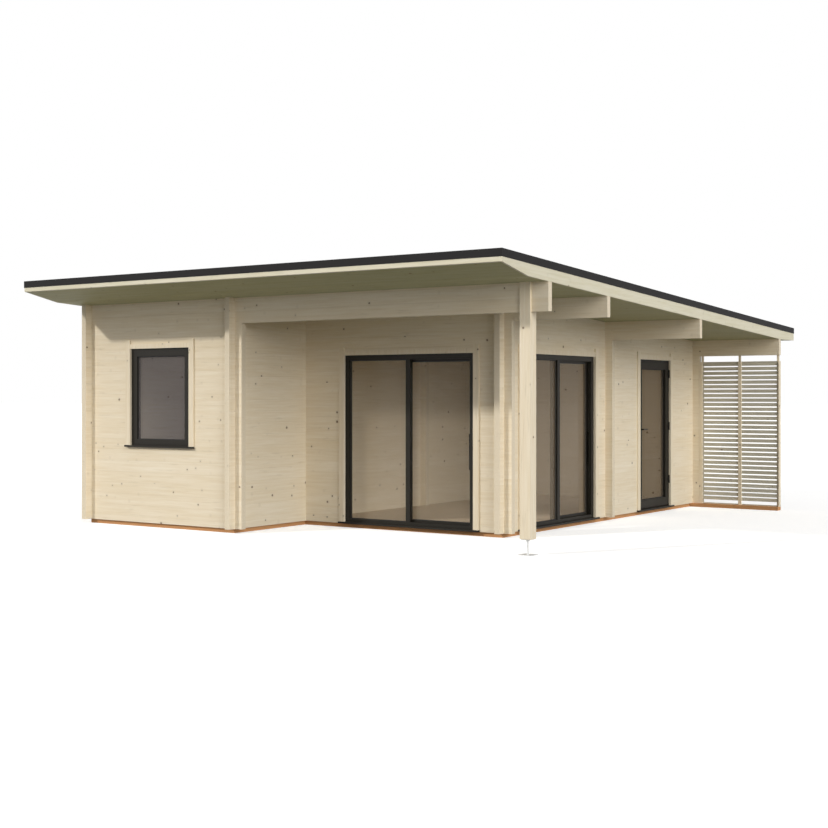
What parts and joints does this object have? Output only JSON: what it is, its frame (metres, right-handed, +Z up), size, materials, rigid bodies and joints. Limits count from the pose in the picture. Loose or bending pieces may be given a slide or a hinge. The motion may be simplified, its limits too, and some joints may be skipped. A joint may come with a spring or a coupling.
{
  "type": "summerhouse",
  "caption": "Log-walled summerhouse with a low mono-pitch roof, a front recess, a covered side terrace with a slatted screen, glazed sliding doors and a hinged glazed door.",
  "frame": {"origin": "on the ground under the middle of the roof outline", "axes": "+X along the front from the left wall to the terrace, +Y from the front to the back, +Z up"},
  "size_m": [6.64, 8.094, 2.9514],
  "materials": {
    "spruce_logs": "bare planed spruce logs with small knots",
    "treated_wood": "pressure-treated sill timber, orange-brown",
    "floor_boards": "planed floor boards",
    "roof_boards": "planed roof boards",
    "fascia_wood": "planed spruce boards",
    "roof_felt": "black roofing felt, matt and slightly grainy",
    "edge_metal": "black coated sheet metal, satin",
    "black_metal": "black powder-coated aluminium, satin",
    "handle_metal": "black coated metal, satin",
    "glass": "clear double glazing",
    "galvanised_steel": "galvanised steel, matt grey",
    "screen_wood": "planed slats"
  },
  "bodies": {
    "cabin": {"front_wall_lower": "spruce_logs", "front_wall_piers": "spruce_logs", "front_wall_upper": "spruce_logs", "recess_wall_piers": "spruce_logs", "recess_wall_head": "spruce_logs", "right_wall_piers": "spruce_logs", "right_wall_head": "spruce_logs", "left_wall": "spruce_logs", "middle_wall": "spruce_logs", "partition_walls": "spruce_logs", "back_wall": "spruce_logs", "front_beam": "spruce_logs", "recess_purlin": "spruce_logs", "middle_purlin": "spruce_logs", "back_purlin": "spruce_logs", "terrace_post": "spruce_logs", "sill_beams": "treated_wood", "main_floor": "floor_boards", "side_floors": "floor_boards", "soffit": "roof_boards", "rafters": "roof_boards", "roof_deck": "roof_boards", "verge_boards": "fascia_wood", "eaves_boards": "fascia_wood", "casings": "fascia_wood", "roof_felt": "roof_felt", "roof_edge_trim": "edge_metal", "metal_sills": "black_metal", "window_frame": "black_metal", "window_sash": "black_metal", "recess_slider_frame": "black_metal", "side_slider_frame": "black_metal", "side_door_frame": "black_metal", "side_door_hinge_pins": "black_metal", "fixed_glass": "glass", "post_foot": "galvanised_steel", "screen_posts": "screen_wood", "screen_slats": "screen_wood"},
    "recess_leaf": {"recess_slider_leaf": "black_metal", "recess_slider_glass": "glass"},
    "side_leaf": {"side_slider_leaf": "black_metal", "side_slider_glass": "glass"},
    "side_door": {"side_door_leaf": "black_metal", "side_door_glass": "glass", "side_door_hinge_knuckles": "black_metal"},
    "door_lever": {"side_door_lever": "handle_metal"}
  },
  "joints": [
    {"name": "recess_leaf_slide", "type": "slide", "parent": "cabin", "child": "recess_leaf", "axis": [-1, 0, 0], "range_m": [0, 0.78]},
    {"name": "side_leaf_slide", "type": "slide", "parent": "cabin", "child": "side_leaf", "axis": [0, -1, 0], "range_m": [0, 0.78]},
    {"name": "side_door_swing", "type": "hinge", "parent": "cabin", "child": "side_door", "pos_m": [2.048, 2.627, 1], "axis": [0, 0, 1], "range_deg": [0, 90]},
    {"name": "door_lever_turn", "type": "hinge", "parent": "side_door", "child": "door_lever", "pos_m": [2.038, 1.73, 1.135], "axis": [-1, 0, 0], "range_deg": [0, 40], "stiffness_Nm_per_rad": 1.5, "springref_deg": -20.05}
  ]
}
